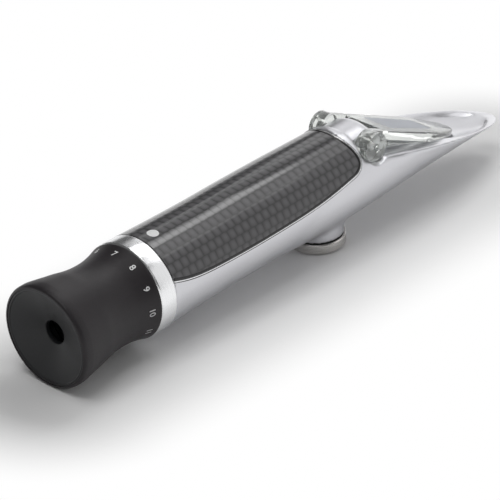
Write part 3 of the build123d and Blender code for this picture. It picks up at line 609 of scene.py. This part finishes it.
def index_dot():
    put_down()
    bpy.ops.mesh.primitive_circle_add(vertices=48, radius=1.8, fill_type="TRIFAN")
    dot = bpy.context.object
    dot.name = "index_mark"
    bpy.ops.object.mode_set(mode="EDIT")
    bpy.ops.mesh.select_all(action="SELECT")
    bpy.ops.mesh.subdivide(number_cuts=3)
    bpy.ops.object.mode_set(mode="OBJECT")
    for vertex in dot.data.vertices:
        x, s = vertex.co.x + 43.65, vertex.co.y
        vertex.co = on_barrel(x, 84.6 + math.degrees(s / 14.9), 0.165)
    finish_with(dot, "SOLIDIFY", thickness=0.2 * MM, offset=-1.0)
    settle(dot, merge=0.0005, angle=50)
    return mount(dot, "housing", WHITE, "white_dot", "index_dot")


index_dot()


# Focus sleeve with its dial numbers, eye cap and collar

SLEEVE_LINE = flowing([(3.2, 16.2), (4.6, 15.98), (6.4, 15.66), (9.0, 15.2), (12.0, 14.7),
                       (15.0, 14.05), (18.0, 13.6),
                       (20.5, 13.42), (22.6, 13.4), (25.0, 13.52), (27.5, 13.88), (30.0, 14.42), (32.0, 15.0)], 60)


def focus_sleeve():
    mouth = [(32.0, 15.0), (32.22, 15.0), (32.3, 14.9)]
    rim = [(1.5, 16.2), (0.9, 16.16), (0.45, 16.0), (0.12, 15.72), (0.0, 15.4), (0.0, 15.22), (0.08, 15.12)]
    inside = [(32.3, 12.05), (9.6, 12.05), (9.6, 13.55), (3.6, 13.55), (3.6, 15.12)]
    profile = SLEEVE_LINE + mouth + inside + list(reversed(rim))
    sleeve = turned("focus_sleeve_ring", profile, sides=192)
    return mount(sleeve, "focus_sleeve", SLEEVE, "black_sleeve", "focus_ring")


def eye_cap():
    dish = eased([(5.4, 3.6), (4.05, 3.6), (0.45, 14.35), (0.2, 14.55), (0.2, 15.05), (0.3, 15.1),
                  (3.6, 15.1)], 0.35, 5)
    profile = dish + [(3.6, 13.5), (5.4, 13.5)]
    cap = turned("eye_dish", profile, sides=192)
    return mount(cap, "focus_sleeve", DISH, "black_sleeve", "eye_cap")


def dial_numbers():
    """Plain numbers round the sleeve's mouth, their tops towards the collar."""
    for number in range(1, 13):
        put_down()
        bpy.ops.object.text_add()
        word = bpy.context.object
        word.data.body = str(number)
        word.data.size = 2.75
        word.data.align_x = "CENTER"
        word.data.align_y = "CENTER"
        word.data.offset = 0.05
        word.data.space_character = 0.95
        bpy.ops.object.convert(target="MESH")
        word = bpy.context.object
        word.name = f"dial_number_{number}"
        bpy.ops.object.mode_set(mode="EDIT")
        bpy.ops.mesh.select_all(action="SELECT")
        bpy.ops.mesh.quads_convert_to_tris()
        bpy.ops.mesh.subdivide(number_cuts=3)
        bpy.ops.object.mode_set(mode="OBJECT")
        turn = math.radians(90 + 30 * (number - 7))
        for vertex in word.data.vertices:
            x = 29.1 + vertex.co.y
            r = radius_at(SLEEVE_LINE, x) + 0.04
            a = turn + vertex.co.x / r
            vertex.co = Vector((x, r * math.cos(a), r * math.sin(a))) * MM
        settle(word, merge=0.0001, angle=50)
        mount(word, "focus_sleeve", WHITE, "white_dot")


def collar():
    profile = eased([(32.5, 12.05), (32.5, 14.75), (32.95, 15.2), (38.2, 15.2), (38.6, 15.0), (38.6, 13.45),
                     (42.6, 13.45), (42.6, 12.05)], 0.12, 3)
    piece = turned("turned_collar", profile, sides=192)
    return mount(piece, "housing", ALUMINIUM, "turned_aluminium", "collar_ring")


focus_sleeve()
eye_cap()
dial_numbers()
collar()


# Zero knob

def knob():
    profile = eased([(-18.65, 7.3), (-18.05, 7.3), (-18.05, 3.05), (-19.2, 3.05), (-19.2, 1.3), (-19.8, 1.3),
                     (-19.8, 3.05), (-21.4, 3.05), (-21.4, 8.85), (-21.05, 9.2), (-18.35, 9.2),
                     (-18.05, 8.95), (-18.05, 8.3), (-18.65, 8.3)], 0.12, 3)
    piece = turned("steel_knob", profile, axis="Z", centre=(KNOB_X, 0.0), sides=144)
    return mount(piece, "zero_knob", BRUSHED, "brushed_knob", "adjust_knob")


knob()


# Clear plate with its frosted panel

def clear_plate():
    """The clear moulding, with its edges just broken."""
    plate = casting_copy("daylight_plate", "clear_plate")
    pick(plate)
    bpy.ops.object.mode_set(mode="EDIT")
    bpy.ops.mesh.select_all(action="SELECT")
    bpy.ops.mesh.dissolve_limited(angle_limit=math.radians(0.5))
    bpy.ops.object.mode_set(mode="OBJECT")
    finish_with(plate, "BEVEL", width=0.25 * MM, segments=3, limit_method="ANGLE", angle_limit=math.radians(40))
    settle(plate, merge=0.0005, angle=30)
    return mount(plate, "plate", ACRYLIC, "clear_acrylic", "daylight_plate")


def panel():
    """Frosted inlay in the plate's top, narrower towards the nose, with a dark joint line at its front."""
    outline = [(5.6, -5.6), (5.6, 5.6), (28.6, 4.6), (29.8, 3.7), (29.8, -3.7), (28.6, -4.6)]
    piece = plate_slab("frosted_inlay", outline, -0.25, 0.02)
    finish_with(piece, "BEVEL", width=0.2 * MM, segments=2, limit_method="ANGLE", angle_limit=math.radians(40))
    settle(piece, merge=0.0005)
    mount(piece, "plate", FROSTED, "clear_acrylic")
    joint = plate_slab("inlay_joint", [(29.95, -4.1), (29.95, 4.1), (30.4, 4.0), (30.4, -4.0)], -0.25, 0.0)
    finish_with(joint, "BEVEL", width=0.06 * MM, segments=2, limit_method="ANGLE", angle_limit=math.radians(40))
    settle(joint, merge=0.0005)
    return mount(joint, "plate", ANODISED, "black_anodised")


clear_plate()
panel()


# Floor, light and camera

SHADOW_LENGTH = 0.2
SHADOW_FADE = (0.016, 0.052)
CAMERA_AZIMUTH, CAMERA_HEIGHT, CAMERA_ROLL = math.radians(-46.77), math.radians(31.03), math.radians(-2.0)
CAMERA_REACH, CAMERA_AIM = 904.8, (85.77, 0, -10.94)


def floor_finish():
    """Plain white floor with the shadow on it, fading to even white away from the line under the piece."""
    f = Finish("pale floor", (0.95, 0.95, 0.95), roughness=0.9, Specular_IOR_Level=0.0)
    f.colour(f.blend(f.grain(3), (0.945, 0.945, 0.945), (0.955, 0.955, 0.955)))
    path = f.tree.nodes.new("ShaderNodeLightPath").outputs
    mirrored = f.math("MAXIMUM", path["Is Glossy Ray"], path["Is Transmission Ray"])
    seen = f.math("MAXIMUM", path["Is Camera Ray"], mirrored)
    grey = f.node("ShaderNodeBsdfDiffuse", {"Color": (0.32, 0.32, 0.32, 1)})
    level = f.node("ShaderNodeVectorMath", {0: f.place, 1: (1, 1, 0)}, operation="MULTIPLY").outputs[0]
    under = f.node("ShaderNodeVectorMath", {0: level, 1: (0, 0, 0)}, operation="MAXIMUM").outputs[0]
    under = f.node("ShaderNodeVectorMath", {0: under, 1: (SHADOW_LENGTH, 0, 0)}, operation="MINIMUM").outputs[0]
    away = f.node("ShaderNodeVectorMath", {0: level, 1: under}, operation="DISTANCE").outputs["Value"]
    far = f.node("ShaderNodeMapRange", {"Value": away, "From Min": SHADOW_FADE[0], "From Max": SHADOW_FADE[1]},
                 interpolation_type="SMOOTHSTEP")
    glow = f.node("ShaderNodeEmission", {"Color": (1, 1, 1, 1), "Strength": 1.0})
    clear = f.node("ShaderNodeMixShader", {0: far.outputs[0], 1: f.shader.outputs[0], 2: glow.outputs[0]})
    both = f.node("ShaderNodeMixShader", {0: seen, 1: grey.outputs[0], 2: clear.outputs[0]})
    f.link(both.outputs[0], f.tree.nodes["Material Output"].inputs["Surface"])
    return f.material


def studio():
    put_down()
    bpy.ops.mesh.primitive_circle_add(vertices=96, radius=3.0, fill_type="NGON")
    floor = bpy.context.object
    floor.name = "floor"
    drop = math.atan2(5.2, 103.6)
    spot = Vector((3.2, 0, -16.25)) * MM
    floor.data.transform(Matrix.Translation(spot) @ Matrix.Rotation(drop, 4, "Y"))
    floor.data.materials.append(floor_finish())

    world = bpy.data.worlds.new("studio")
    bpy.context.scene.world = world
    world.use_nodes = True
    tree = world.node_tree
    back = tree.nodes["Background"]
    where = tree.nodes.new("ShaderNodeTexCoord").outputs["Generated"]
    up = tree.nodes.new("ShaderNodeSeparateXYZ")
    tree.links.new(where, up.inputs[0])
    ramp = tree.nodes.new("ShaderNodeMapRange")
    ramp.inputs["From Min"].default_value = 0.06
    ramp.inputs["From Max"].default_value = 0.12
    ramp.inputs["To Min"].default_value = 1.0
    ramp.inputs["To Max"].default_value = 0.10
    tree.links.new(up.outputs["Z"], ramp.inputs[0])
    tree.links.new(ramp.outputs[0], back.inputs["Color"])
    back.inputs["Strength"].default_value = 1.0

    def softbox(name, at, aim, width, height, glow):
        """Soft light of a plain brightness, glow, over its whole face."""
        lamp = bpy.data.lights.new(name, "AREA")
        lamp.shape = "RECTANGLE"
        lamp.size, lamp.size_y, lamp.energy = width, height, glow * math.pi * width * height
        holder = bpy.data.objects.new(name, lamp)
        bpy.context.collection.objects.link(holder)
        holder.location = at
        holder.rotation_mode = "QUATERNION"
        holder.rotation_quaternion = (Vector(aim) - Vector(at)).to_track_quat("-Z", "Y")

    def softbox_towards(name, way, reach, width, height, glow):
        """Softbox that faces the middle of the instrument from the direction way."""
        middle = Vector((0.08, 0, 0))
        softbox(name, middle + Vector(way).normalized() * reach, middle, width, height, glow)

    softbox_towards("overhead softbox", (0.42, 0.17, 0.70), 0.84, 0.34, 0.26, 3.1)
    softbox_towards("front softbox", (0.64, -0.60, 0.44), 1.04, 0.8, 0.8, 0.78)
    softbox_towards("long softbox", (0.62, -0.10, 0.78), 1.0, 0.6, 0.3, 1.45)
    softbox_towards("rear softbox", (0.62, 0.50, 0.60), 1.0, 0.4, 0.26, 0.4)
    softbox_towards("tip softbox", (0.87, 0.36, 0.30), 1.0, 0.74, 0.70, 0.85)
    softbox_towards("zenith softbox", (-0.25, 0.0, 1.0), 1.0, 0.6, 0.6, 2.6)
    softbox_towards("left softbox", (-0.60, -0.55, 0.55), 1.0, 0.5, 0.5, 0.45)


def camera():
    a, e, roll = CAMERA_AZIMUTH, CAMERA_HEIGHT, CAMERA_ROLL
    back = Vector((math.sin(a) * math.cos(e), -math.cos(a) * math.cos(e), math.sin(e)))
    right = Vector((math.cos(a), math.sin(a), 0))
    up = back.cross(right)
    across = right * math.cos(roll) + up * math.sin(roll)
    upward = up * math.cos(roll) - right * math.sin(roll)
    eye = bpy.data.cameras.new("camera")
    eye.lens = 216.0
    eye.sensor_width = 36.0
    eye.clip_start, eye.clip_end = 0.01, 50
    holder = bpy.data.objects.new("camera", eye)
    bpy.context.collection.objects.link(holder)
    place = Vector(CAMERA_AIM) * MM + back * CAMERA_REACH * MM
    turn = Matrix((across, upward, back)).transposed().to_4x4()
    holder.matrix_world = Matrix.Translation(place) @ turn
    bpy.context.scene.camera = holder


studio()
camera()
bpy.context.scene.view_settings.view_transform = "Standard"
put_down()
